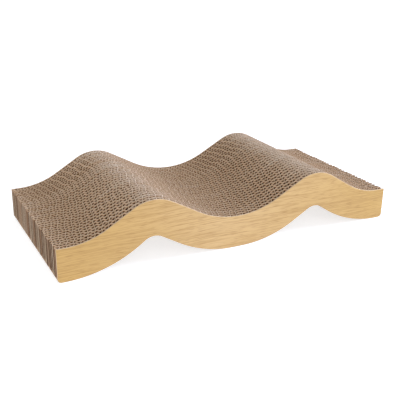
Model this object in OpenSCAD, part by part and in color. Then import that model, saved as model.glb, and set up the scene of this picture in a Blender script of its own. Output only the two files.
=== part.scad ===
/* [Whole scratcher] */
// Length of the scratcher from end to end
scratcher_l = 440; // [400:5:520]
// Width of the scratcher, over both side boards
scratcher_w = 202; // [172:1:232]

/* [Wave on top] */
// Height of the two humps above the floor
hump_h = 77; // [70:0.5:88]
// Distance between the tops of the two humps
hump_spacing = 217; // [196:1:238]
// Radius over the top of a hump
hump_r = 46.5; // [38:0.5:55]
// Height of the bottom of the hollow between the humps
hollow_h = 39.5; // [34:0.5:46]
// Height of the level platform at each end
platform_h = 39.5; // [34:0.5:46]
// Length of the level platform at each end
platform_l = 10; // [6:0.5:16]

/* [Underside] */
// Height of the arch under each hump
arch_h = 34; // [28:0.5:38]
// Radius at the top of an arch
arch_r = 19; // [14:0.5:24]
// Width of the flat that the middle foot stands on
foot_w = 12; // [6:0.5:20]
// Length of the flat that each end stands on, up to the end face
end_foot_l = 9; // [7:0.5:14]
// Radius of the lower edge at each end
end_edge_r = 4.5; // [3:0.5:6]

/* [Corrugated sheets] */
// Corrugated sheets glued side by side, front to rear
sheet_count = 34; // [28:1:40]
// Thickness of a flat paper liner
liner_t = 0.45; // [0.3:0.05:0.7]
// Thickness of the fluted paper
flute_t = 0.4; // [0.25:0.05:0.6]
// Distance from one flute to the next
flute_pitch = 7.93; // [6.5:0.01:9.5]
// Width of the glued tip of a flute, between two channels on the same liner
flute_tip_w = 0.4; // [0.3:0.05:0.8]

/* [Side boards] */
// Thickness of the side board on each long face, with its wood-grain film
board_t = 1.2; // [0.8:0.1:3]

/* [Hidden] */
$fn = 96;
// Straight part of each flank, as a share of the line from its low point to its high point
hollow_flank_share = 0.33;
platform_flank_share = 0.31;
inner_arch_flank_share = 0.23;
outer_arch_flank_share = 0.03;
// Step of the flutes from one sheet to the next, as a share of the flute pitch. The rear sheets
// are glued on from another pile, whose flutes step the other way.
drift_share = 0.19;
rear_drift_share = -0.12;
front_pile_count = 24;
// Uneven stacking on top of that step, as a share of the flute pitch
sway_share = 0.1;
// Turn of the uneven stacking from one sheet to the next
sway_turn = 80;
// How far cutting shapes run past the faces that they cut
overrun = 1;
// How far an arc is set over the lines that it joins, so that they cross cleanly
arc_overlap = 0.002;

half_l = scratcher_l / 2;
half_spacing = hump_spacing / 2;
stack_t = scratcher_w - 2 * board_t;
sheet_t = stack_t / sheet_count;

function two_digits(n) = n < 10 ? str("0", n) : str(n);
function sheet_name(n) = str("sheet_", two_digits(n));

// Wave outline in the X-Z plane. A flank joins a low point to a high point by two arcs with a
// straight line between them, and the arcs end level.
function arc_radii(run, rise, share) = (1 - share * share) * (run * run + rise * rise) / (2 * rise);
function flank_angle(run, rise, radii) = asin(radii / norm([run, radii - rise])) - atan2(radii - rise, run);

// A flank as [angle, low radius, high radius]
function flank(run, rise, share, high_r) =
    let (radii = arc_radii(run, rise, share))
    [flank_angle(run, rise, radii), radii - high_r, high_r];
function above_low(low, f, side) = low + [side * f[1] * sin(f[0]), f[1] * (1 - cos(f[0]))];
function below_high(high, f, side) = high - [side * f[2] * sin(f[0]), f[2] * (1 - cos(f[0]))];

hollow_low = [0, hollow_h];
hump_top = [half_spacing, hump_h];
platform_edge = [half_l - platform_l, platform_h];
arch_top = [half_spacing, arch_h];
foot_edge = [foot_w / 2, 0];
end_foot_edge = [half_l - end_foot_l, 0];

hollow_flank = flank(half_spacing, hump_h - hollow_h, hollow_flank_share, hump_r);
platform_flank = flank(platform_edge.x - half_spacing, hump_h - platform_h, platform_flank_share, hump_r);
inner_arch_flank = flank(half_spacing - foot_edge.x, arch_h, inner_arch_flank_share, arch_r);
outer_arch_flank = flank(end_foot_edge.x - half_spacing, arch_h, outer_arch_flank_share, arch_r);

// Points of the right half of the outline, where its lines and arcs meet
hollow_rim = above_low(hollow_low, hollow_flank, 1);
hump_inner = below_high(hump_top, hollow_flank, 1);
hump_outer = below_high(hump_top, platform_flank, -1);
platform_rim = above_low(platform_edge, platform_flank, -1);
end_edge_side = [half_l, end_edge_r];
end_edge_floor = [half_l - end_edge_r, 0];
end_foot_rim = above_low(end_foot_edge, outer_arch_flank, -1);
arch_outer = below_high(arch_top, outer_arch_flank, -1);
arch_inner = below_high(arch_top, inner_arch_flank, 1);
foot_rim = above_low(foot_edge, inner_arch_flank, 1);

// Counter-clockwise, from the middle foot to the middle of the hollow
half_outline = [
    foot_edge, foot_rim, arch_inner, arch_outer, end_foot_rim, end_foot_edge, end_edge_floor,
    end_edge_side, [half_l, platform_h], platform_edge, platform_rim, hump_outer, hump_inner, hollow_rim
];

function mirrored(p) = [-p.x, p.y];

// An arc as [start, end, centre, radius]
function mirrored_arc(arc) = [mirrored(arc[1]), mirrored(arc[0]), mirrored(arc[2]), arc[3]];
function both_sides(arcs) = concat(arcs, [for (arc = arcs) mirrored_arc(arc)]);

function foot_arc(start, end, level_end, r) = [start, end, level_end + [0, r + arc_overlap], r + arc_overlap];
function hollow_arc(start, end, low, r) = [start, end, low + [0, r], r + arc_overlap];

bulging_arcs = both_sides([
    foot_arc(foot_edge, foot_rim, foot_edge, inner_arch_flank[1]),
    foot_arc(end_foot_rim, end_foot_edge, end_foot_edge, outer_arch_flank[1]),
    [end_edge_floor, end_edge_side, [half_l - end_edge_r, end_edge_r], end_edge_r],
    [hump_outer, hump_inner, hump_top - [0, hump_r], hump_r + arc_overlap]
]);
hollow_arcs = concat(both_sides([
    [arch_inner, arch_outer, arch_top - [0, arch_r], arch_r + arc_overlap],
    hollow_arc(platform_edge, platform_rim, platform_edge, platform_flank[1])
]), [hollow_arc(hollow_rim, mirrored(hollow_rim), hollow_low, hollow_flank[1])]);

// The slice of a circle between an arc and its chord, and a little past the chord and its ends
module arc_slice(arc) {
    along = (arc[1] - arc[0]) / norm(arc[1] - arc[0]);
    middle = (arc[0] + arc[1]) / 2;
    out = (middle - arc[2]) / norm(middle - arc[2]);
    start = arc[0] - along * overrun;
    end = arc[1] + along * overrun;
    intersection() {
        translate(arc[2]) circle(r = arc[3]);
        polygon([start - out * overrun, start + out * arc[3], end + out * arc[3], end - out * overrun]);
    }
}

module wave_outline() {
    left_outline = [for (n = [len(half_outline) - 1:-1:0]) mirrored(half_outline[n])];
    difference() {
        union() {
            polygon(concat(half_outline, left_outline));
            for (arc = bulging_arcs) arc_slice(arc);
        }
        for (arc = hollow_arcs) arc_slice(arc);
    }
}

// The wave as a slab from y = 0 to y = thickness
module wave_slab(thickness) {
    translate([0, thickness, 0]) rotate([90, 0, 0]) linear_extrude(height = thickness) wave_outline();
}

module side_board() {
    color("burlywood") wave_slab(board_t);
}

module side_board_front() {
    translate([0, -scratcher_w / 2, 0]) side_board();
}

module side_board_rear() {
    translate([0, scratcher_w / 2 - board_t, 0]) side_board();
}

// Corrugated sheets. The flutes run straight up, so that their ends show on the wave.
channel_w = flute_pitch - flute_tip_w;
channel_depth = sheet_t - 2 * liner_t - flute_t;
flutes_past_middle = ceil((half_l + flute_pitch) / flute_pitch);

// How far a sheet's flutes stand from those of an even stack, along the length
function flute_shift(n) =
    let (
        front_steps = min(n, front_pile_count) * drift_share,
        rear_steps = max(n - front_pile_count, 0) * rear_drift_share,
        shift = flute_pitch * (front_steps + rear_steps - sway_share * sin(n * sway_turn))
    )
    shift - flute_pitch * floor(shift / flute_pitch);

// Plan of a channel between the fluted paper and the front liner
module channel_plan() {
    polygon([[-channel_w / 2, liner_t], [channel_w / 2, liner_t], [0, liner_t + channel_depth]]);
}

// Plan of one flute: a channel on the front liner and the next one, on the rear liner
module flute_plan() {
    channel_plan();
    translate([flute_pitch / 2, sheet_t]) mirror([0, 1]) channel_plan();
}

module sheet(n) {
    color("peru")
    translate([0, (n - 1) * sheet_t - stack_t / 2, 0])
    difference() {
        wave_slab(sheet_t);
        translate([0, 0, -overrun]) linear_extrude(height = hump_h + 2 * overrun)
            for (k = [-flutes_past_middle:flutes_past_middle])
                translate([k * flute_pitch + flute_shift(n), 0]) flute_plan();
    }
}

side_board_front();
side_board_rear();
for (n = [1:sheet_count]) sheet(n);
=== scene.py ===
"""Looks of a wave-shaped cat scratcher: corrugated sheets glued side by side between two
side boards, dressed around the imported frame. Sizes are in millimetres until a mesh is made."""

import logging
import math
from dataclasses import dataclass, field
from enum import Enum, IntEnum
from functools import cached_property

import bpy
import numpy as np
from bpy.types import ID, Material, Node, NodeOutputs, NodeSocket, NodeTree, Object
from mathutils import Matrix, Vector


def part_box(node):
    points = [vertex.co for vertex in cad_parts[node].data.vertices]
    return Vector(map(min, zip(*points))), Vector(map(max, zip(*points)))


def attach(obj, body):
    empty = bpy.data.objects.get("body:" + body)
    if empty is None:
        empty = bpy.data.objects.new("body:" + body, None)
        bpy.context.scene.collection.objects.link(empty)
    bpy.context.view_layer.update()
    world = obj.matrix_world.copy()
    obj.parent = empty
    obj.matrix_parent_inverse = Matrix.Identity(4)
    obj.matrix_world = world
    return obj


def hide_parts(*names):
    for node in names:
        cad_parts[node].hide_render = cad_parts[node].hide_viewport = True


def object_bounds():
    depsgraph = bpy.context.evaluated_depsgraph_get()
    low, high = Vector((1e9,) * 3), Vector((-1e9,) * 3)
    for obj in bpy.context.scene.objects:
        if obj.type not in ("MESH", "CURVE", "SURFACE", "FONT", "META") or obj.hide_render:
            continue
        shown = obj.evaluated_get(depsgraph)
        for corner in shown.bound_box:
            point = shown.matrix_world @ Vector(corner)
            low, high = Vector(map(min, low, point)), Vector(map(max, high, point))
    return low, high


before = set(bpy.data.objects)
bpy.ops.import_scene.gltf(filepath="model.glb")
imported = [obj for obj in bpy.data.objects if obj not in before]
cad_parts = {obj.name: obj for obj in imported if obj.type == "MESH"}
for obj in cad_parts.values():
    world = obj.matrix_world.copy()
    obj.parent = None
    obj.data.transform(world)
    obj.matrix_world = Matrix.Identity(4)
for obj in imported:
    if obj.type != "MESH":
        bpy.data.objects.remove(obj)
CAD_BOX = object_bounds()

MM = 0.001
BODY = "root"
# The UV map through which the colours of a piece can be baked
BAKE_MAP = "OFBake"
# What each vertex keeps for the materials: its distances from the cuts, over which they paint shade down
# the channels, and how light it is, with the painted highlight at the hump tops
CUT_DISTANCE = "cut_distance"
TONE = "tone"
# Seed of all random draws, to which a sheet adds its own number
SEED = 4100

log = logging.getLogger("cat_scratcher")

Array = np.ndarray
Colour = tuple[float, float, float]
Place = tuple[float, float, float]
Range = tuple[float, float]


class Slot(Enum):
    """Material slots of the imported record."""

    CARDBOARD = "corrugated_cardboard"
    SIDE_BOARD = "side_board"


class Side(Enum):
    """The long sides of the scratcher, by the direction in which their boards face."""

    FRONT = -1
    REAR = 1


class Paper(IntEnum):
    """Materials of a sheet, by their number on its piece."""

    LINER = 0
    FLUTING = 1
    CUT_FLUTE = 2
    CUT_LINER = 3


def linear(colour: Colour) -> Colour:
    """Turns a colour as seen on screen, from 0 to 255, into the renderer's own, from 0 to 1."""
    shares = [channel / 255 for channel in colour]
    return tuple(s / 12.92 if s <= 0.04045 else ((s + 0.055) / 1.055) ** 2.4 for s in shares)


# The wave outline, the same as the solids have.


@dataclass(frozen=True)
class Flank:
    """A slope of the wave: an arc at its low end, a straight stretch and an arc at its high end."""

    low: tuple[float, float]
    high: tuple[float, float]
    straight_share: float
    high_r: float

    def heights(self, x: Array) -> Array:
        """Works out the height of the slope.

        Args:
            x: Places along the length, right of the middle.

        Returns:
            The height at each place. Past the ends of the slope it stays level.
        """
        run = abs(self.high[0] - self.low[0])
        rise = self.high[1] - self.low[1]
        radii = (1 - self.straight_share**2) * (run**2 + rise**2) / (2 * rise)
        angle = math.asin(radii / math.hypot(run, radii - rise)) - math.atan2(radii - rise, run)
        low_r = radii - self.high_r
        from_low = np.clip(np.abs(x - self.low[0]), 0, run)
        from_high = run - from_low
        low_end = low_r * math.sin(angle)
        high_end = self.high_r * math.sin(angle)
        low_arc = self.low[1] + low_r - np.sqrt(np.maximum(low_r**2 - from_low**2, 0))
        high_arc = self.high[1] - self.high_r + np.sqrt(np.maximum(self.high_r**2 - from_high**2, 0))
        straight = self.low[1] + low_r * (1 - math.cos(angle)) + (from_low - low_end) * math.tan(angle)
        return np.where(from_low < low_end, low_arc, np.where(from_high < high_end, high_arc, straight))


@dataclass(frozen=True)
class WaveProfile:
    """The side view of the scratcher, the same on every sheet and board."""

    length: float
    hump_h: float
    hump_spacing: float = 217
    hump_r: float = 46.5
    hollow_h: float = 39.5
    platform_h: float = 39.5
    platform_l: float = 10
    arch_h: float = 34
    arch_r: float = 19
    foot_w: float = 12
    end_foot_l: float = 9
    end_edge_r: float = 4.5
    hollow_flank_share: float = 0.33
    platform_flank_share: float = 0.31
    inner_arch_flank_share: float = 0.23
    outer_arch_flank_share: float = 0.03

    @property
    def half_l(self) -> float:
        """Half of the length."""
        return self.length / 2

    def top(self, x: Array) -> Array:
        """Height of the scratching surface.

        Args:
            x: Places along the length, from the middle.

        Returns:
            The height at each place.
        """
        out = np.abs(x)
        hump = (self.hump_spacing / 2, self.hump_h)
        edge = (self.half_l - self.platform_l, self.platform_h)
        inner = Flank((0, self.hollow_h), hump, self.hollow_flank_share, self.hump_r)
        outer = Flank(edge, hump, self.platform_flank_share, self.hump_r)
        return np.where(out < hump[0], inner.heights(out), outer.heights(np.minimum(out, edge[0])))

    def underside(self, x: Array) -> Array:
        """Height of the underside, with its two arches, three feet and rounded end edges.

        Args:
            x: Places along the length, from the middle.

        Returns:
            The height at each place.
        """
        out = np.abs(x)
        arch = (self.hump_spacing / 2, self.arch_h)
        foot = (self.foot_w / 2, 0)
        end_foot = (self.half_l - self.end_foot_l, 0)
        inner = Flank(foot, arch, self.inner_arch_flank_share, self.arch_r)
        outer = Flank(end_foot, arch, self.outer_arch_flank_share, self.arch_r)
        past = np.clip(out - (self.half_l - self.end_edge_r), 0, self.end_edge_r)
        edge = self.end_edge_r - np.sqrt(self.end_edge_r**2 - past**2)
        arches = np.where(
            out < arch[0],
            inner.heights(np.maximum(out, foot[0])),
            outer.heights(np.minimum(out, end_foot[0])),
        )
        return arches + edge


# Mesh code. A piece is put together from parts, and becomes one Blender object.


@dataclass(frozen=True)
class MapBand:
    """A level band of the bake map, from its lower to its upper edge."""

    low: float
    high: float

    @classmethod
    def stack(cls, low: float, height: float, step: float, count: int) -> list["MapBand"]:
        """Lays out bands of one height, a step apart, from the lowest up."""
        return [cls(low + step * n, low + step * n + height) for n in range(count)]


def cells(grid: Array, turned: bool = False) -> Array:
    """Lists what lies at the corners of each cell of a grid, clockwise if turned."""
    corners = np.stack([grid[:-1, :-1], grid[:-1, 1:], grid[1:, 1:], grid[1:, :-1]], axis=2)
    return corners[:, :, :: -1 if turned else 1].reshape(-1, 4, *grid.shape[2:])


@dataclass
class MeshParts:
    """Vertices and faces gathered for one piece, with what its materials read from them."""

    # Places, distances from the cuts and tones of the vertices
    vertices: list[tuple[Array, Array, Array]] = field(default_factory=list)
    # Vertex numbers, material numbers and places on the bake map of the faces
    faces: list[tuple[Array, Array, Array]] = field(default_factory=list)

    def add_points(self, points: Array, cut_distance: Array, tone: Array) -> Array:
        """Adds vertices.

        Args:
            points: Their places, one row each.
            cut_distance: How far each lies from the cut at the top, underside and ends.
            tone: How light each is, from 0 to 1.

        Returns:
            Their numbers.
        """
        numbers = sum(len(places) for places, _, _ in self.vertices) + np.arange(len(points))
        self.vertices.append((points, cut_distance, tone))
        return numbers

    def add_faces(self, corners: Array, slot: int, corner_map: Array) -> None:
        """Adds faces by four vertex numbers in each row, counter-clockwise from outside."""
        self.faces.append((corners, np.full(len(corners), slot), corner_map.reshape(-1, 2)))

    def add_grid(
        self, numbers: Array, slot: int, along: Array, band: MapBand, turned: bool = False
    ) -> None:
        """Adds the faces of a grid of vertices.

        Args:
            numbers: The vertices' numbers, in rows from the lowest up.
            slot: Number of the faces' material on the piece.
            along: Place of each column on the bake map.
            band: The band of the bake map that the rows fill.
            turned: Whether the faces look the other way.
        """
        rise = np.linspace(band.low, band.high, len(numbers))
        places = np.stack(np.meshgrid(along, rise), axis=-1)
        self.add_faces(cells(numbers, turned), slot, cells(places, turned))

    def build(self, name: str, materials: list[Material], sharp_angle: float) -> Object:
        """Makes the Blender object.

        Args:
            name: Name of the piece.
            materials: Its materials, in the order of the slot numbers.
            sharp_angle: Edges that turn more than this are sharp, in degrees.

        Returns:
            The object, at the origin, with its place in its mesh.
        """
        points, cut_distances, tones = map(np.concatenate, zip(*self.vertices))
        faces, slots, corner_maps = map(np.concatenate, zip(*self.faces))
        mesh = bpy.data.meshes.new(name)
        mesh.vertices.add(len(points))
        mesh.vertices.foreach_set("co", (points * MM).ravel())
        mesh.loops.add(faces.size)
        mesh.loops.foreach_set("vertex_index", faces.ravel())
        mesh.polygons.add(len(faces))
        mesh.polygons.foreach_set("loop_start", np.arange(0, faces.size, 4))
        mesh.polygons.foreach_set("material_index", slots)
        mesh.update(calc_edges=True)
        for material in materials:
            mesh.materials.append(material)
        layer = mesh.uv_layers.new(name=BAKE_MAP)
        layer.data.foreach_set("uv", corner_maps.ravel())
        distance = mesh.attributes.new(CUT_DISTANCE, "FLOAT_VECTOR", "POINT")
        distance.data.foreach_set("vector", cut_distances.ravel())
        tone = mesh.attributes.new(TONE, "FLOAT", "POINT")
        tone.data.foreach_set("value", tones)
        mesh.polygons.foreach_set("use_smooth", np.ones(len(faces), bool))
        mesh.set_sharp_from_angle(angle=math.radians(sharp_angle))
        mesh.validate()
        return placed(name, mesh)


def placed(name: str, data: ID) -> Object:
    """Makes an object and puts it into the scene.

    Args:
        name: Name of the object.
        data: Its mesh, lamp or camera.

    Returns:
        The object, at the origin.
    """
    thing = bpy.data.objects.new(name, data)
    bpy.context.scene.collection.objects.link(thing)
    return thing


def dress(piece: Object, node: str) -> None:
    """Ties a finished piece to the frame and reports it.

    Args:
        piece: The piece, in place.
        node: The CAD node that it stands for.
    """
    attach(piece, BODY)
    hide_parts(node)
    log.info("%s stands for %s: %d faces", piece.name, node, len(piece.data.polygons))


@dataclass
class UprightStrip:
    """A paper that stands on its edge between the underside and the top, along a line in plan."""

    profile: WaveProfile
    front: Array
    back: Array
    # How far the cut edge stays under the wave, and leans along the length, at each point of the line
    fray: Array
    lean: Array
    # How open the channel is in front of each point, from 0 where it is glued shut to 1. The one
    # behind it takes the rest to 1.
    open_front: Array
    tone: Array
    # Materials of its faces and of its cut edges
    slots: tuple[Paper, Paper]
    # Shares of the bake map's width that the long faces and the two ends take
    along_share: float = 0.98
    left_end: Range = (0.984, 0.99)
    right_end: Range = (0.994, 1.0)
    # Depth of the row of vertices under the cut edge, which is the lowest part that leans
    bend_depth: float = 2.5
    # Share of its real depth that a point at a glued tip counts as, so that the painted shade of its
    # channel sets in deeper there
    shut_share: float = 0.12

    def add_to(self, parts: MeshParts, bands: list[MapBand]) -> None:
        """Adds the strip to a piece.

        Args:
            parts: What the piece is gathered in.
            bands: Where its front, back, rim and foot lie on the bake map.
        """
        face, cut = self.slots
        front_band, back_band, rim_band, foot_band = bands
        front = self._add_side(parts, self.front, self.open_front)
        back = self._add_side(parts, self.back, 1 - self.open_front)
        along = np.linspace(0, self.along_share, len(self.front))
        parts.add_grid(front, face, along, front_band)
        parts.add_grid(back, face, along, back_band, turned=True)
        parts.add_grid(np.stack([front[-1], back[-1]]), cut, along, rim_band)
        parts.add_grid(np.stack([front[0], back[0]]), cut, along, foot_band, turned=True)
        left = np.column_stack([back[:, 0], front[:, 0]])
        right = np.column_stack([front[:, -1], back[:, -1]])
        parts.add_grid(left, cut, np.array(self.left_end), front_band)
        parts.add_grid(right, cut, np.array(self.right_end), front_band)

    def _add_side(self, parts: MeshParts, line: Array, openness: Array) -> Array:
        """Adds the vertices of one side, from the underside up.

        Args:
            parts: What the piece is gathered in.
            line: The side's points in plan.
            openness: How open the channel is at each of them.

        Returns:
            The vertices' numbers, in rows.
        """
        half_l = self.profile.half_l
        x = np.clip(line[:, 0], -half_l, half_l)
        top = self.profile.top(x)
        floor = self.profile.underside(x)
        edge = top - self.fray
        bend = np.maximum(top - self.bend_depth, floor)
        lit_share = self.shut_share + (1 - self.shut_share) * openness
        points, distances = [], []
        for height, row_x in ((floor, x), (bend, x), (edge, np.clip(x + self.lean, -half_l, half_l))):
            points.append(np.column_stack([row_x, line[:, 1], height]))
            reach = [(edge - height) * lit_share, (height - floor) * lit_share]
            distances.append(np.column_stack([*reach, half_l - np.abs(row_x)]))
        tones = np.tile(self.tone, len(points))
        numbers = parts.add_points(np.concatenate(points), np.concatenate(distances), tones)
        return numbers.reshape(len(points), -1)


# Shader nodes. Effects that several materials share are node groups, built once.


class NodeSketch:
    """Short calls that add and join nodes in one tree."""

    def __init__(self, tree: NodeTree) -> None:
        """Takes the tree to draw in."""
        self.tree = tree

    def feed(self, socket: NodeSocket, value: object) -> None:
        """Feeds an input.

        Args:
            socket: The input.
            value: Its value, or the output that feeds it.
        """
        if isinstance(value, NodeSocket):
            self.tree.links.new(value, socket)
        else:
            socket.default_value = value

    def add(self, kind: str, values: dict | None = None, **settings: object) -> Node:
        """Adds a node.

        Args:
            kind: Blender's name of the node type.
            values: For each input, by name or number, its value or the output that feeds it.
            settings: Properties of the node.

        Returns:
            The node.
        """
        node = self.tree.nodes.new(kind)
        for key, value in settings.items():
            setattr(node, key, value)
        for key, value in (values or {}).items():
            self.feed(node.inputs[key], value)
        return node

    def calc(self, operation: str, *values: object) -> NodeSocket:
        """Works out a result from numbers or outputs, by Blender's name of the operation."""
        return self.add("ShaderNodeMath", dict(enumerate(values)), operation=operation).outputs[0]

    def plus(self, first: object, second: object) -> NodeSocket:
        """Adds two numbers or outputs."""
        return self.calc("ADD", first, second)

    def times(self, first: object, second: object) -> NodeSocket:
        """Multiplies two numbers or outputs."""
        return self.calc("MULTIPLY", first, second)

    def scaled(self, place: NodeSocket, scale: object) -> NodeSocket:
        """Scales coordinates by a number along each axis or by an output."""
        return self.add("ShaderNodeVectorMath", {0: place, 1: scale}, operation="MULTIPLY").outputs[0]

    def moved(self, place: NodeSocket, shift: object) -> NodeSocket:
        """Moves coordinates by a distance along each axis or by an output."""
        return self.add("ShaderNodeVectorMath", {0: place, 1: shift}, operation="ADD").outputs[0]

    def mix(self, factor: object, first: Colour | NodeSocket, second: Colour | NodeSocket) -> NodeSocket:
        """Mixes two linear colours or outputs, by the share of the second."""
        ends = [end if isinstance(end, NodeSocket) else (*end, 1.0) for end in (first, second)]
        return self.add("ShaderNodeMix", {0: factor, 6: ends[0], 7: ends[1]}, data_type="RGBA").outputs[2]

    def remap(self, value: NodeSocket, source: tuple, target: Range = (0.0, 1.0)) -> NodeSocket:
        """Stretches a range of values, given by numbers or outputs, to another and clamps it."""
        labels = ("Value", "From Min", "From Max", "To Min", "To Max")
        return self.add("ShaderNodeMapRange", dict(zip(labels, (value, *source, *target)))).outputs[0]

    def noise(self, place: NodeSocket, density: Place, octaves: float) -> NodeSocket:
        """Draws noise from 0 to 1, with its cells to a unit of length along X, Y and Z."""
        values = {"Vector": self.scaled(place, density), "Scale": 1.0, "Detail": octaves}
        return self.add("ShaderNodeTexNoise", values).outputs[0]


class GroupSketch(NodeSketch):
    """A sketch of a shader node group."""

    def __init__(self, name: str, inputs: dict[str, float | None], outputs: tuple[str, ...]) -> None:
        """Starts the group.

        Args:
            name: Its name.
            inputs: For each input, its default, or None where it takes coordinates.
            outputs: Names of the outputs.
        """
        super().__init__(bpy.data.node_groups.new(name, "ShaderNodeTree"))
        sockets = self.tree.interface
        for label, default in inputs.items():
            kind = "NodeSocketVector" if default is None else "NodeSocketFloat"
            socket = sockets.new_socket(name=label, in_out="INPUT", socket_type=kind)
            if default is not None:
                socket.default_value = default
        for label in outputs:
            sockets.new_socket(name=label, in_out="OUTPUT", socket_type="NodeSocketFloat")
        self.given = self.add("NodeGroupInput").outputs

    def finished(self, results: dict[str, NodeSocket]) -> NodeTree:
        """Ends the group with what feeds each of its outputs, and gives it."""
        self.add("NodeGroupOutput", results)
        return self.tree


class MaterialSketch(NodeSketch):
    """A sketch of a material with a Principled shader."""

    def __init__(self, name: str) -> None:
        """Starts the material.

        Args:
            name: Its name.
        """
        self.material = bpy.data.materials.new(name)
        self.material.use_nodes = True
        super().__init__(self.material.node_tree)
        self.tree.nodes.clear()
        self.shader = self.add("ShaderNodeBsdfPrincipled")
        self.add("ShaderNodeOutputMaterial", {"Surface": self.shader.outputs[0]})
        self.place = self.add("ShaderNodeTexCoord").outputs["Object"]

    def group(self, tree: NodeTree, values: dict[str, object]) -> NodeOutputs:
        """Places a node group with its own values, and gives its outputs."""
        return self.add("ShaderNodeGroup", values, node_tree=tree).outputs

    def bump(self, height: NodeSocket, size: Range, invert: bool = False) -> NodeSocket:
        """Turns a height into a normal, by how many millimetres high and how strong it is."""
        values = {"Height": height, "Distance": size[0] * MM, "Strength": size[1]}
        return self.add("ShaderNodeBump", values, invert=invert).outputs[0]

    def finished(self, values: dict[str, object]) -> Material:
        """Ends the material.

        Args:
            values: For each input of the shader, its value or the output that feeds it.

        Returns:
            The material.
        """
        for label, value in values.items():
            self.feed(self.shader.inputs[label], value)
        return self.material


class Effects:
    """The shader node groups that the finishes share. Each is built once, when first asked for."""

    @cached_property
    def fibre(self) -> NodeTree:
        """Paper fibre: short hairs that lie along and across, and a fine grain.

        Returns:
            A group that puts out a mask of the hairs and a height.
        """
        hair_share = 0.6
        grain_share = 0.4
        inputs = {"Place": None, "Per metre": 900.0}
        sketch = GroupSketch("paper_fibre", inputs, ("Hairs", "Height"))
        place = sketch.scaled(sketch.given["Place"], sketch.given["Per metre"])
        along = sketch.noise(place, density=(0.35, 1.0, 1.6), octaves=2.0)
        across = sketch.noise(place, density=(1.5, 0.9, 0.3), octaves=2.0)
        grain = sketch.noise(place, density=(3.0, 3.0, 3.0), octaves=1.0)
        hairs = sketch.remap(sketch.calc("MAXIMUM", along, across), (0.42, 0.72))
        height = sketch.plus(sketch.times(hairs, hair_share), sketch.times(grain, grain_share))
        return sketch.finished({"Hairs": hairs, "Height": height})

    @cached_property
    def blotches(self) -> NodeTree:
        """Soft uneven tone over a hand's width, as recycled paper and printed film have.

        Returns:
            A group that puts out a mask.
        """
        sketch = GroupSketch("soft_blotches", {"Place": None, "Per metre": 14.0}, ("Mask",))
        place = sketch.scaled(sketch.given["Place"], sketch.given["Per metre"])
        noise = sketch.noise(place, density=(1.0, 1.6, 2.2), octaves=3.0)
        return sketch.finished({"Mask": sketch.remap(noise, (0.32, 0.68))})

    @cached_property
    def cut_reach(self) -> NodeTree:
        """How near a point lies to a cut edge, from the distances kept on the mesh.

        Returns:
            A group that puts out a mask of the worn rim and one of the depth down a channel, over which
            the paper gets painted shade.
        """
        # The painted shade of a channel starts at the lit depth and is full at the full one. A sheet's
        # end counts as lying from a cut by the end offset.
        depths = {"Lit depth": 0.25, "Full depth": 1.9}
        inputs = {"Rim width": 1.2, **depths, "Unevenness": 0.5, "End offset": 0.85}
        sketch = GroupSketch("cut_reach", inputs, ("Rim", "Depth"))
        given = sketch.given
        stored = sketch.add("ShaderNodeAttribute", attribute_name=CUT_DISTANCE).outputs["Vector"]
        from_top, from_floor, from_end = sketch.add("ShaderNodeSeparateXYZ", {0: stored}).outputs
        from_end = sketch.plus(from_end, given["End offset"])
        near = sketch.calc("MINIMUM", from_top, sketch.calc("MINIMUM", from_floor, from_end))
        near = sketch.calc("MAXIMUM", near, 0.0)
        place = sketch.add("ShaderNodeTexCoord").outputs["Object"]
        ragged = sketch.noise(place, density=(700.0, 700.0, 260.0), octaves=2.0)
        uneven = sketch.plus(near, sketch.times(ragged, given["Unevenness"]))
        past_rim = sketch.calc("MINIMUM", sketch.calc("DIVIDE", uneven, given["Rim width"]), 1.0)
        rim = sketch.calc("SUBTRACT", 1.0, past_rim)
        depth = sketch.remap(near, (given["Lit depth"], given["Full depth"]))
        return sketch.finished({"Rim": rim, "Depth": depth})

    @cached_property
    def wood_grain(self) -> NodeTree:
        """Light oak grain that runs along X: broad bands, streaks and pores.

        Returns:
            A group that puts out masks of the bands, streaks and pores, and a height.
        """
        outputs = ("Bands", "Streaks", "Pores", "Height")
        sketch = GroupSketch("oak_grain", {"Place": None, "Waviness": 0.006}, outputs)
        place = sketch.given["Place"]
        sway = sketch.calc("SUBTRACT", sketch.noise(place, (7.0, 7.0, 16.0), octaves=1.0), 0.5)
        lift = sketch.times(sway, sketch.given["Waviness"])
        warped = sketch.moved(place, sketch.add("ShaderNodeCombineXYZ", {"Z": lift}).outputs[0])
        bands = sketch.remap(sketch.noise(warped, (5.0, 5.0, 75.0), octaves=2.0), (0.35, 0.65))
        streaks = sketch.remap(sketch.noise(warped, (24.0, 24.0, 850.0), octaves=2.0), (0.48, 0.62))
        pores = sketch.remap(sketch.noise(warped, (70.0, 70.0, 1300.0), octaves=1.0), (0.56, 0.68))
        masks = {"Bands": bands, "Streaks": streaks, "Pores": pores}
        return sketch.finished({**masks, "Height": sketch.plus(streaks, pores)})


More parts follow.
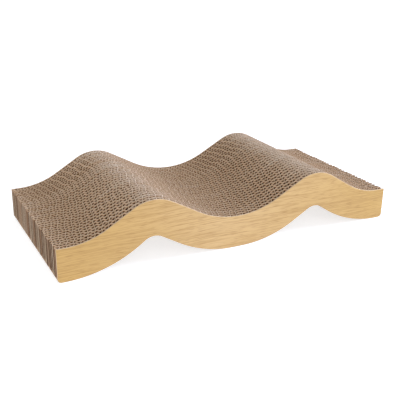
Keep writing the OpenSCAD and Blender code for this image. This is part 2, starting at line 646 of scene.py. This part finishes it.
@dataclass(frozen=True)
class PaperFinish:
    """Raw brown paper, as a flat liner or as fluted paper. Lengths are in millimetres."""

    name: str
    light: Colour
    dark: Colour
    # Fuzz and cut rims, on fresh paper and on paper worn by claws, which at the hump tops also carries a
    # painted highlight
    rim: Colour
    worn: Colour
    # Painted shade a little way down a channel, and deep in it
    shade: Colour
    depth: Colour
    roughness: Range
    # How far the colour goes over to the painted depth shade, at full depth
    depth_shade_share: float = 0.98
    hairs_per_m: float = 800.0
    bump_h: float = 0.05
    bump_strength: float = 0.8
    blotches_per_m: float = 16.0
    blotch_share: float = 0.4
    # Tones over which paper goes from fresh to worn with a painted highlight, and the share of fuzz on
    # fresh paper
    worn_and_highlight_tones: Range = (0.5, 1.0)
    fresh_fuzz: float = 0.35
    # Tones over which the light rim at a cut widens, towards the painted highlight at the hump tops, its
    # widths, and how well it covers
    rim_tones: Range = (0.3, 1.0)
    rim_widths: Range = (1.0, 2.6)
    rim_cover: float = 0.85
    # Tones over which the painted shade in the channels fades on lighter paper, and the share of it that
    # stays
    shade_fade_tones: Range = (0.55, 1.0)
    shade_fade_share: float = 0.62
    # Share of the painted dark at which the painted shade colour is full, and how well it covers
    full_shade: float = 0.5
    shade_cover: float = 0.6
    specular: float = 0.25

    def material(self, effects: Effects) -> Material:
        """Builds the material.

        Args:
            effects: The shared node groups.

        Returns:
            The material.
        """
        sketch = MaterialSketch(self.name)
        place = sketch.place
        fibre = sketch.group(effects.fibre, {"Place": place, "Per metre": self.hairs_per_m})
        blotches = sketch.group(effects.blotches, {"Place": place, "Per metre": self.blotches_per_m})
        tone = sketch.add("ShaderNodeAttribute", attribute_name=TONE).outputs["Fac"]
        rim_width = sketch.remap(tone, self.rim_tones, self.rim_widths)
        reach = sketch.group(effects.cut_reach, {"Rim width": rim_width})
        even = sketch.times(tone, 1 - self.blotch_share)
        level = sketch.plus(even, sketch.times(blotches["Mask"], self.blotch_share))
        base = sketch.mix(level, linear(self.dark), linear(self.light))
        # Rims and fuzz go paler with tone: worn by claws, and at the hump tops a painted highlight
        fuzz_and_highlight = sketch.mix(sketch.remap(tone, self.worn_and_highlight_tones), linear(self.rim), linear(self.worn))
        fuzz = sketch.remap(tone, self.worn_and_highlight_tones, (self.fresh_fuzz, 1.0))
        hairy = sketch.mix(sketch.times(fibre["Hairs"], fuzz), base, fuzz_and_highlight)
        # Painted shade: down each channel the colour goes over to the shade colour and then to the depth
        # colour, less on lighter paper
        dark_shares = (self.depth_shade_share, self.shade_fade_share * self.depth_shade_share)
        deep = sketch.times(reach["Depth"], sketch.remap(tone, self.shade_fade_tones, dark_shares))
        mid_shade_mask = sketch.remap(deep, (0.0, self.full_shade), (0.0, self.shade_cover))
        mid_shaded = sketch.mix(mid_shade_mask, hairy, linear(self.shade))
        shaded = sketch.mix(deep, mid_shaded, linear(self.depth))
        values = {
            "Base Color": sketch.mix(sketch.times(reach["Rim"], self.rim_cover), shaded, fuzz_and_highlight),
            "Roughness": sketch.remap(fibre["Hairs"], (0.0, 1.0), self.roughness),
            "Normal": sketch.bump(fibre["Height"], (self.bump_h, self.bump_strength)),
            "Specular IOR Level": self.specular,
            "Diffuse Roughness": 1.0,
        }
        return sketch.finished(values)


@dataclass(frozen=True)
class CutEdgeFinish(PaperFinish):
    """The cut edge of paper, paler and more fibrous than its face, with only a little painted shade in
    depth.
    """

    # Painted shade deep in a channel, only a little darker
    depth: Colour = (150, 124, 102)
    roughness: Range = (0.9, 0.98)
    depth_shade_share: float = 0.1
    hairs_per_m: float = 2600.0
    bump_h: float = 0.08


@dataclass(frozen=True)
class FilmFinish:
    """Light oak print on the outside of a side board, satin, a little worn at its edges."""

    name: str
    # How far the print is moved, in metres, so that the two boards differ
    offset: Place
    pale: Colour = (200, 168, 121)
    warm: Colour = (189, 153, 90)
    streak: Colour = (160, 124, 72)
    pore: Colour = (138, 100, 54)
    edge: Colour = (216, 186, 142)
    waviness: float = 0.008
    band_share: float = 0.2
    streak_share: float = 0.47
    pore_share: float = 0.42
    # The print is warmer towards the ends, between these distances from the middle, in metres
    warm_reach: Range = (0.03, 0.2)
    warm_share: float = 0.75
    blotches_per_m: float = 5.0
    blotch_share: float = 0.25
    # The lighter edge: its width in millimetres, how uneven it is and how well it covers
    edge_w: float = 0.8
    edge_unevenness: float = 0.7
    edge_cover: float = 0.6
    # Roughness of the smooth print, and of a pore in a streak
    roughness: Range = (0.46, 0.62)
    bump_h: float = 0.03
    bump_strength: float = 0.5
    specular: float = 0.35

    def material(self, effects: Effects) -> Material:
        """Builds the material.

        Args:
            effects: The shared node groups.

        Returns:
            The material.
        """
        sketch = MaterialSketch(self.name)
        moved = sketch.moved(sketch.place, self.offset)
        grain = sketch.group(effects.wood_grain, {"Place": moved, "Waviness": self.waviness})
        blotches = sketch.group(effects.blotches, {"Place": moved, "Per metre": self.blotches_per_m})
        along = sketch.calc("ABSOLUTE", sketch.add("ShaderNodeSeparateXYZ", {0: sketch.place}).outputs[0])
        ends = sketch.remap(along, self.warm_reach, (0.0, self.warm_share))
        warmth = sketch.plus(ends, sketch.times(blotches["Mask"], self.blotch_share))
        colour = sketch.mix(warmth, linear(self.pale), linear(self.warm))
        layers = (
            (grain["Bands"], self.band_share, self.streak),
            (grain["Streaks"], self.streak_share, self.streak),
            (grain["Pores"], self.pore_share, self.pore),
        )
        for mask, share, tint in layers:
            colour = sketch.mix(sketch.times(mask, share), colour, linear(tint))
        reach_values = {"Rim width": self.edge_w, "Unevenness": self.edge_unevenness}
        rim = sketch.group(effects.cut_reach, reach_values)["Rim"]
        values = {
            "Base Color": sketch.mix(sketch.times(rim, self.edge_cover), colour, linear(self.edge)),
            "Roughness": sketch.remap(grain["Height"], (0.0, 2.0), self.roughness),
            "Normal": sketch.bump(grain["Height"], (self.bump_h, self.bump_strength), invert=True),
            "Specular IOR Level": self.specular,
        }
        return sketch.finished(values)


@dataclass(frozen=True)
class CoreFinish:
    """Pale fibreboard, seen at the cut edges of a side board."""

    name: str
    pale: Colour
    dark: Colour
    hairs_per_m: float = 1400.0
    hair_share: float = 0.6
    blotches_per_m: float = 30.0
    blotch_share: float = 0.3
    roughness: Range = (0.8, 0.95)
    bump_h: float = 0.05
    bump_strength: float = 0.8
    specular: float = 0.25

    def material(self, effects: Effects) -> Material:
        """Builds the material.

        Args:
            effects: The shared node groups.

        Returns:
            The material.
        """
        sketch = MaterialSketch(self.name)
        place = sketch.place
        fibre = sketch.group(effects.fibre, {"Place": place, "Per metre": self.hairs_per_m})
        blotches = sketch.group(effects.blotches, {"Place": place, "Per metre": self.blotches_per_m})
        spots = sketch.times(fibre["Hairs"], self.hair_share)
        shade = sketch.plus(spots, sketch.times(blotches["Mask"], self.blotch_share))
        values = {
            "Base Color": sketch.mix(shade, linear(self.pale), linear(self.dark)),
            "Roughness": sketch.remap(fibre["Hairs"], (0.0, 1.0), self.roughness),
            "Normal": sketch.bump(fibre["Height"], (self.bump_h, self.bump_strength)),
            "Specular IOR Level": self.specular,
        }
        return sketch.finished(values)


@dataclass(frozen=True)
class Finishes:
    """All materials of the scratcher."""

    liner: Material
    fluting: Material
    cut_flute: Material
    cut_liner: Material
    film_front: Material
    film_rear: Material
    core: Material

    @classmethod
    def make(cls) -> "Finishes":
        """Builds the materials from their finishes.

        Returns:
            All of them.
        """
        # Shade and depth are painted shade down the channels; worn is the rim colour of paper worn by
        # claws, which at the hump tops also carries a painted highlight
        liner = PaperFinish(
            name="kraft_liner",
            light=(184, 146, 111), dark=(166, 129, 95),
            rim=(202, 174, 147), worn=(222, 210, 198),
            shade=(150, 96, 58), depth=(46, 22, 9),
            roughness=(0.82, 0.95),
        )
        fluting = PaperFinish(
            name="fluted_paper",
            light=(196, 157, 121), dark=(179, 141, 106),
            rim=(212, 187, 162), worn=(208, 193, 178),
            shade=(156, 100, 62), depth=(50, 24, 10),
            roughness=(0.85, 0.96),
        )
        cut_flute = CutEdgeFinish(
            name="cut_flute_edge",
            light=(230, 212, 190), dark=(208, 187, 163),
            rim=(230, 212, 190), worn=(236, 224, 211),
            shade=(180, 148, 120),
        )
        cut_liner = CutEdgeFinish(
            name="cut_liner_edge",
            light=(202, 179, 154), dark=(172, 147, 122),
            rim=(200, 177, 152), worn=(222, 209, 194),
            shade=(166, 136, 110),
        )
        film_front = FilmFinish("oak_film_front", offset=(0.0, 0.0, 0.0))
        film_rear = FilmFinish("oak_film_rear", offset=(1.7, 0.0, 0.4))
        core = CoreFinish("board_core", pale=(206, 182, 152), dark=(184, 159, 129))
        effects = Effects()
        finishes = (liner, fluting, cut_flute, cut_liner, film_front, film_rear, core)
        return cls(*(finish.material(effects) for finish in finishes))


# The corrugated sheets.


@dataclass(frozen=True)
class Corrugation:
    """Sizes of the corrugated paper, as the solids have them, and how far real paper strays."""

    sheet_t: float
    liner_t: float = 0.42
    flute_t: float = 0.38
    flute_pitch: float = 7.93
    # Air between the liners of neighbouring sheets, where the glue line shows
    seam: float = 0.06
    # Step of the flutes from one sheet to the next. The rear sheets are from another pile.
    drift_share: float = 0.19
    rear_drift_share: float = -0.12
    front_pile_count: int = 24
    sway_share: float = 0.1
    sway_turn: float = 80
    # Straight pieces that one flute is drawn with, and their length on a liner
    flute_steps: int = 12
    liner_step: float = 2.0
    # How far flutes stray along the length, the cut edges fray and their tips lean
    stray: float = 0.3
    fray: float = 0.22
    lean: float = 0.14
    # Distances, in flutes, over which they turn from one side to the other
    stray_reach: float = 3 / 2
    fray_reach: float = 1 / 3
    lean_reach: float = 1 / 2

    def shift(self, number: int) -> float:
        """How far a sheet's flutes stand from those of an even stack.

        Args:
            number: The sheet's number, from 1 at the front.

        Returns:
            The distance along the length.
        """
        steps = min(number, self.front_pile_count) * self.drift_share
        steps += max(number - self.front_pile_count, 0) * self.rear_drift_share
        sway = self.sway_share * math.sin(math.radians(number * self.sway_turn))
        return self.flute_pitch * ((steps - sway) % 1)


@dataclass(frozen=True)
class PaperTone:
    """How light the paper of a sheet is, as tones from 0 to 1: lighter at the tops of the humps, partly
    worn by claws and partly a painted highlight, and at the worn ends.
    """

    darkest: float = 0.28
    lightest: float = 0.55
    # What the tops of the two humps add, partly worn by claws and partly a painted highlight, and what
    # the worn ends add, and how far from there it reaches
    left_hump: float = 0.36
    right_hump: float = 0.48
    hump_reach: float = 26
    end: float = 0.15
    end_reach: float = 15
    # Uneven tone: the distance over which it turns, and its spread
    broad: Range = (35, 0.1)
    fine: Range = (8, 0.06)


@dataclass
class CorrugatedSheet:
    """One sheet: a front and a rear liner with a fluted paper between them."""

    number: int
    front_y: float
    profile: WaveProfile
    corrugation: Corrugation
    paper_tone: PaperTone = PaperTone()
    # Edges that turn more than this, in degrees, are sharp
    sharp_angle: float = 62
    random: np.random.Generator = field(init=False)

    def __post_init__(self) -> None:
        """Starts the sheet's own random draws."""
        self.random = np.random.default_rng(SEED + self.number)

    def build(self, finishes: Finishes) -> None:
        """Makes the sheet's piece.

        Args:
            finishes: The materials.
        """
        sizes = self.corrugation
        parts = MeshParts()
        walls = MapBand.stack(low=0.005, height=0.125, step=0.135, count=6)
        rims = MapBand.stack(low=0.82, height=0.025, step=0.03, count=3)
        feet = MapBand.stack(low=0.915, height=0.023, step=0.028, count=3)
        rear_y = self.front_y + sizes.sheet_t
        strips = (
            self._liner(self.front_y + sizes.seam / 2),
            self._liner(rear_y - sizes.seam / 2 - sizes.liner_t),
            self._fluting(),
        )
        for strip, *bands in zip(strips, walls[::2], walls[1::2], rims, feet):
            strip.add_to(parts, bands)
        materials = [finishes.liner, finishes.fluting, finishes.cut_flute, finishes.cut_liner]
        piece = parts.build(f"cardboard_sheet_{self.number:02d}", materials, self.sharp_angle)
        dress(piece, f"sheet_{self.number:02d}")

    def _places(self, step: float) -> Array:
        """Places along the sheet from end to end, about a step apart."""
        half_l = self.profile.half_l
        return np.linspace(-half_l, half_l, round(self.profile.length / step) + 1)

    def _wander(self, x: Array, reach: float, spread: float) -> Array:
        """Draws a line that wanders smoothly about nought.

        Args:
            x: Places along the length.
            reach: Distance over which it turns.
            spread: How far it strays.

        Returns:
            Its value at each place.
        """
        half_l = self.profile.half_l + reach
        knots = np.arange(-half_l, half_l + reach, reach)
        return np.interp(x, knots, self.random.normal(0, spread, len(knots)))

    def _tone(self, x: Array) -> Array:
        """Draws how light the paper is along its length.

        Args:
            x: Places along the length.

        Returns:
            Its tone at each place, from 0 to 1.
        """
        paper_tone = self.paper_tone
        level = self.random.uniform(paper_tone.darkest, paper_tone.lightest)
        hump = np.exp(-(((np.abs(x) - self.profile.hump_spacing / 2) / paper_tone.hump_reach) ** 2))
        end = np.exp(-(((self.profile.half_l - np.abs(x)) / paper_tone.end_reach) ** 2))
        # Lighter towards the hump tops, partly worn by claws and partly a painted highlight, and towards
        # the worn ends
        worn = np.where(x > 0, paper_tone.right_hump, paper_tone.left_hump) * hump + paper_tone.end * end
        return np.clip(level + worn + self._wander(x, *paper_tone.broad) + self._wander(x, *paper_tone.fine), 0, 1)

    def _phase(self, x: Array, stray: Array) -> Array:
        """Angle of the fluted paper on its wave, nought where it touches the rear liner."""
        turn = 2 * math.pi / self.corrugation.flute_pitch
        return turn * (x - self.corrugation.shift(self.number) + stray)

    @staticmethod
    def _openness(phase: Array) -> Array:
        """How open the channels in front of the fluted paper are, from 0 to 1."""
        return (1 + np.cos(phase)) / 2

    def _liner(self, front_y: float) -> UprightStrip:
        """Draws a flat liner.

        Args:
            front_y: Where its front side lies.

        Returns:
            The liner.
        """
        sizes = self.corrugation
        x = self._places(sizes.liner_step)
        front = np.column_stack([x, np.full_like(x, front_y)])
        back = front + [0, sizes.liner_t]
        fray = np.abs(self._wander(x, sizes.liner_step, sizes.fray / 2))
        even = np.zeros_like(x)
        opening = 1 - self._openness(self._phase(x, even))
        tone = self._tone(x)
        slots = (Paper.LINER, Paper.CUT_LINER)
        return UprightStrip(self.profile, front, back, fray, even, opening, tone, slots)

    def _fluting(self) -> UprightStrip:
        """Draws the fluted paper.

        Returns:
            The fluted paper.
        """
        sizes = self.corrugation
        pitch = sizes.flute_pitch
        x = self._places(pitch / sizes.flute_steps)
        phase = self._phase(x, self._wander(x, pitch * sizes.stray_reach, sizes.stray))
        reach = (sizes.sheet_t - sizes.seam) / 2 - sizes.liner_t - sizes.flute_t / 2
        y = self.front_y + sizes.sheet_t / 2 + reach * np.cos(phase)
        slope = np.gradient(y, x)
        out = np.column_stack([-slope, np.ones_like(slope)]) / np.sqrt(1 + slope**2)[:, None]
        line = np.column_stack([x, y])
        half_t = sizes.flute_t / 2
        front, back = line - out * half_t, line + out * half_t
        fray = np.abs(self._wander(x, pitch * sizes.fray_reach, sizes.fray))
        lean = self._wander(x, pitch * sizes.lean_reach, sizes.lean)
        opening = self._openness(phase)
        tone = self._tone(x)
        slots = (Paper.FLUTING, Paper.CUT_FLUTE)
        return UprightStrip(self.profile, front, back, fray, lean, opening, tone, slots)


# The side boards.


def drawn_in(loop: Array, inset: float) -> Array:
    """Draws a closed outline in by the same distance all round.

    Args:
        loop: Its points, counter-clockwise.
        inset: The distance.

    Returns:
        The new points.
    """
    before = loop - np.roll(loop, 1, axis=0)
    after = np.roll(loop, -1, axis=0) - loop
    before /= np.linalg.norm(before, axis=1)[:, None]
    after /= np.linalg.norm(after, axis=1)[:, None]
    inward = np.column_stack([-before[:, 1] - after[:, 1], before[:, 0] + after[:, 0]])
    share = 1 + np.sum(before * after, axis=1)
    return loop + inward * (inset / share)[:, None]


@dataclass
class SideBoard:
    """A side board: a fibreboard core with an oak film on its outer face."""

    side: Side
    profile: WaveProfile
    outer_y: float
    thickness: float
    film_t: float = 0.1
    bevel: float = 0.25
    film_edge: float = 0.06
    rim_w: float = 1.2
    column_w: float = 2.0
    corner_steps: int = 8
    # Edges that turn more than this, in degrees, are sharp
    sharp_angle: float = 30
    # Lower edges of the outer and the inner face on the bake map, and how much they are stretched
    outer_map_low: float = 0.01
    inner_map_low: float = 0.4
    map_stretch: float = 2
    # Even, because the boards' materials don't read it
    tone: float = 0.5

    def build(self, finishes: Finishes) -> None:
        """Makes the board's two pieces, the core and the film.

        Args:
            finishes: The materials.
        """
        name = self.side.name.lower()
        inward = -self.side.value
        film_y = self.outer_y + inward * self.film_t
        core_rings = [
            (0.0, self.outer_y + inward * self.thickness),
            (0.0, film_y + inward * self.bevel),
            (self.bevel, film_y),
        ]
        film_rings = [
            (self.bevel, film_y),
            (self.bevel, self.outer_y + inward * self.film_edge / 2),
            (self.bevel + self.film_edge, self.outer_y),
            (self.bevel + self.rim_w, self.outer_y),
        ]
        film = finishes.film_front if self.side is Side.FRONT else finishes.film_rear
        solids = (("board_core", core_rings, finishes.core), ("oak_film", film_rings, film))
        for kind, rings, material in solids:
            piece = self._solid(rings, f"{kind}_{name}", material)
            dress(piece, f"side_board_{name}")

    def _outline(self) -> tuple[Array, Array]:
        """Draws the outline as two lines with a point of the one over each of the other.

        Returns:
            The line of the underside and that of the top, left to right.
        """
        profile = self.profile
        flat = profile.half_l - profile.end_edge_r
        count = round(2 * flat / self.column_w) + 1
        angles = np.linspace(0, math.pi / 2, self.corner_steps + 1)[1:]
        corner = flat + profile.end_edge_r * np.sin(angles)
        x = np.concatenate([-corner[::-1], np.linspace(-flat, flat, count), corner])
        top_x = np.linspace(-profile.half_l, profile.half_l, len(x))
        return np.column_stack([x, profile.underside(x)]), np.column_stack([top_x, profile.top(top_x)])

    def _solid(self, rings: list[Range], name: str, material: Material) -> Object:
        """Makes a closed solid from rings, with its first and last one filled.

        Args:
            rings: For each ring, how far it is drawn in and where it lies along Y, from the inside out.
            name: Name of the piece.
            material: Its material.

        Returns:
            The piece.
        """
        underside, top = self._outline()
        loop = np.concatenate([underside, top[::-1]])
        count = len(loop)
        length = self.profile.length
        parts = MeshParts()
        loops = []
        far = np.full(count, length)
        for inset, y in rings:
            drawn = drawn_in(loop, inset)
            points = np.column_stack([drawn[:, 0], np.full(count, y), drawn[:, 1]])
            from_edge = np.full(count, max(inset - self.bevel, 0.0))
            cut_distance = np.column_stack([from_edge, far, far])
            loops.append(parts.add_points(points, cut_distance, np.full(count, self.tone)))
        front = self.side is Side.FRONT
        along = np.linspace(0, 1, count + 1)
        bands = MapBand.stack(low=0.78, height=0.045, step=0.05, count=len(rings) - 1)
        for band, inner, outer in zip(bands, loops[:-1], loops[1:]):
            lines = [np.append(outer, outer[0]), np.append(inner, inner[0])]
            parts.add_grid(np.stack(lines if front else lines[::-1]), 0, along, band)
        faces = ((loops[-1], not front, self.outer_map_low), (loops[0], front, self.inner_map_low))
        for filled, turned, low in faces:
            corners = cells(np.stack([filled[: len(underside)], filled[len(underside) :][::-1]]), turned)
            points = np.concatenate([places for places, _, _ in parts.vertices])[corners]
            rise = low + points[..., 2] / length * self.map_stretch
            parts.add_faces(corners, 0, np.stack([points[..., 0] / length + 0.5, rise], axis=-1))
        return parts.build(name, [material], self.sharp_angle)


# The studio and the camera.


@dataclass(frozen=True)
class SoftLight:
    """A large soft lamp. Sizes are in metres, and its power in watts."""

    name: str
    place: Place
    size: float
    power: float
    colour: Colour

    def build(self, target: Vector) -> None:
        """Makes the lamp.

        Args:
            target: What it points at.
        """
        data = bpy.data.lights.new(self.name, "AREA")
        data.shape = "DISK"
        data.size = self.size
        data.energy = self.power
        data.color = self.colour
        lamp = placed(self.name, data)
        lamp.location = self.place
        lamp.rotation_euler = (target - lamp.location).to_track_quat("-Z", "Y").to_euler()


@dataclass(frozen=True)
class Studio:
    """A plain pale floor under soft light. Sizes are in metres."""

    floor_size: float = 24
    floor_colour: Colour = (194, 198, 206)
    floor_roughness: float = 0.9
    # Soft spots on the floor, and how much lighter they are
    spots_per_m: float = 3.0
    spot_gain: float = 1.02
    # The floor glows a little, as a light table does, so that shadows stay faint
    floor_glow: float = 0.7
    sky_strength: float = 0.62
    sky_colour: Colour = (1.0, 0.96, 0.9)
    lights: tuple[SoftLight, ...] = (
        SoftLight("key_light", (2.1, -0.24, 0.66), 1.2, 75, (0.93, 1.08, 1.4)),
        SoftLight("fill_light", (-0.55, -2.0, 1.0), 1.8, 17, (1.0, 0.975, 0.93)),
    )

    def build(self) -> None:
        """Makes the floor, the lamps and the sky."""
        world = bpy.data.worlds.new("studio")
        world.use_nodes = True
        sky = world.node_tree.nodes["Background"]
        sky.inputs["Color"].default_value = (*self.sky_colour, 1)
        sky.inputs["Strength"].default_value = self.sky_strength
        bpy.context.scene.world = world
        bpy.context.scene.view_settings.view_transform = "Standard"
        self._floor()
        for light in self.lights:
            light.build(Vector((0, 0, 0)))

    def _floor(self) -> None:
        """Makes the floor."""
        half = self.floor_size / 2
        mesh = bpy.data.meshes.new("floor")
        corners = [(-half, -half, 0), (half, -half, 0), (half, half, 0), (-half, half, 0)]
        mesh.from_pydata(corners, [], [(0, 1, 2, 3)])
        sketch = MaterialSketch("pale_floor")
        spots = sketch.noise(sketch.place, density=(self.spots_per_m,) * 3, octaves=2.0)
        colour = linear(self.floor_colour)
        paler = tuple(min(1.0, channel * self.spot_gain) for channel in colour)
        values = {
            "Base Color": sketch.mix(spots, colour, paler),
            "Roughness": self.floor_roughness,
            "Emission Color": (1, 1, 1, 1),
            "Emission Strength": self.floor_glow,
        }
        mesh.materials.append(sketch.finished(values))
        floor = placed("floor", mesh)


@dataclass(frozen=True)
class PhotoCamera:
    """The camera, placed as the photograph was taken. Angles are in degrees."""

    place: Place = (-381.74, -732.64, 341.97)
    yaw: float = 27.53
    pitch: float = 21.06
    roll: float = -0.914
    focal_px: float = 677.93
    frame_px: float = 400
    sensor_w: float = 36
    # Nearest distance that it sees, in metres
    clip_start: float = 0.05

    def build(self) -> None:
        """Makes the camera and sets it as the scene's."""
        yaw, pitch, roll = (math.radians(angle) for angle in (self.yaw, self.pitch, self.roll))
        flat = math.cos(pitch)
        ahead = Vector((math.sin(yaw) * flat, math.cos(yaw) * flat, -math.sin(pitch)))
        level = Vector((math.cos(yaw), -math.sin(yaw), 0))
        down = ahead.cross(level)
        right = math.cos(roll) * level + math.sin(roll) * down
        below = -math.sin(roll) * level + math.cos(roll) * down
        turn = Matrix((right, -below, -ahead)).transposed().to_4x4()
        data = bpy.data.cameras.new("photo_camera")
        data.sensor_width = self.sensor_w
        data.lens = self.focal_px * self.sensor_w / self.frame_px
        data.clip_start = self.clip_start
        camera = placed("photo_camera", data)
        camera.matrix_world = Matrix.Translation(Vector(self.place) * MM) @ turn
        bpy.context.scene.camera = camera


@dataclass
class Scratcher:
    """The whole scratcher, with its main sizes taken from the frame."""

    finishes: Finishes

    def build(self) -> None:
        """Makes every piece."""
        low, high = CAD_BOX
        profile = WaveProfile((high.x - low.x) / MM, high.z / MM)
        for side in Side:
            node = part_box(f"side_board_{side.name.lower()}")
            outer = node[0].y if side is Side.FRONT else node[1].y
            SideBoard(side, profile, outer / MM, (node[1].y - node[0].y) / MM).build(self.finishes)
        sheets = sorted(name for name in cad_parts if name.startswith("sheet_"))
        for number, name in enumerate(sheets, 1):
            front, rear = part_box(name)
            corrugation = Corrugation((rear.y - front.y) / MM)
            CorrugatedSheet(number, front.y / MM, profile, corrugation).build(self.finishes)


def main() -> None:
    """Builds the scene and reports each piece."""
    logging.basicConfig(level=logging.INFO, format="%(name)s: %(message)s")
    PhotoCamera().build()
    Studio().build()
    Scratcher(Finishes.make()).build()


if __name__ == "__main__":
    main()
